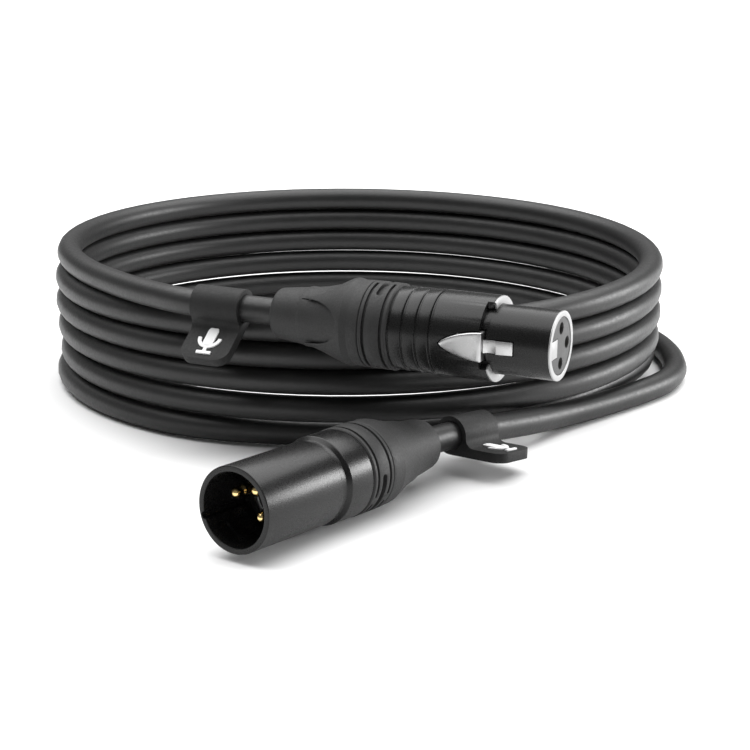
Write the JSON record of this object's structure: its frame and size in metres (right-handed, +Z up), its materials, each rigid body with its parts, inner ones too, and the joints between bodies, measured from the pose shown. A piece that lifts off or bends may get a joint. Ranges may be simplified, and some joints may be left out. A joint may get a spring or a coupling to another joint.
{
  "type": "coiled microphone cable",
  "caption": "Microphone cable coiled for storage, with a latching female connector and a male connector, each with a flexible boot and a turning marker tag.",
  "frame": {"origin": "centre of the object's bounding box at floor height, where the coil rests", "axes": "+Z up, the coil's axis; -Y towards the side where both connectors lie; +X to the right as seen from that side"},
  "size_m": [0.1741, 0.2519, 0.0466],
  "materials": {
    "jacket": "matte",
    "shell": "satin",
    "insert": "matte",
    "insert_black": "matte",
    "contact": "polished",
    "latch": "satin",
    "spring": "satin",
    "chuck": "matte",
    "boot": "matte",
    "tag": "matte",
    "emblem": "matte",
    "wire_red": "gloss",
    "wire_white": "gloss",
    "wire_shield": "satin"
  },
  "bodies": {
    "cable": {"female_shell": "shell", "female_insert": "insert", "female_contact_1": "contact", "female_contact_2": "contact", "female_contact_3": "contact", "latch_pin": "latch", "latch_spring": "spring", "female_chuck": "chuck", "female_bushing": "boot", "female_boot": "boot", "female_cable_end": "jacket", "female_wire_red": "wire_red", "female_wire_white": "wire_white", "female_wire_shield": "wire_shield", "male_shell": "shell", "male_insert": "insert_black", "male_pin_1": "contact", "male_pin_2": "contact", "male_pin_3": "contact", "male_chuck": "chuck", "male_bushing": "boot", "male_boot": "boot", "male_cable_end": "jacket", "male_cable_neck": "jacket", "male_wire_red": "wire_red", "male_wire_white": "wire_white", "male_wire_shield": "wire_shield", "cable_coil": "jacket", "cable_lead": "jacket", "cable_tail": "jacket"},
    "latch": {"latch_lever": "latch"},
    "female_marker": {"female_tag": "tag", "female_tag_emblem": "emblem"},
    "male_marker": {"male_tag": "tag", "male_tag_emblem": "emblem"}
  },
  "joints": [
    {"name": "latch_press", "type": "hinge", "parent": "cable", "child": "latch", "pos_m": [0.01932, -0.07639, 0.0361], "axis": [0.0128, -0.0057, 0.9999], "range_deg": [0, 5], "stiffness_Nm_per_rad": 0.3, "deforming": ["latch_spring"]},
    {"name": "female_tag_turn", "type": "hinge", "parent": "cable", "child": "female_marker", "pos_m": [-0.03595, -0.04292, 0.037], "axis": [-0.9142, 0.4051, 0.014], "range_deg": [-25, 95]},
    {"name": "male_tag_turn", "type": "hinge", "parent": "cable", "child": "male_marker", "pos_m": [0.02261, -0.05246, 0.00831], "axis": [-0.647, -0.7575, 0.0872], "range_deg": [-10, 90]}
  ]
}
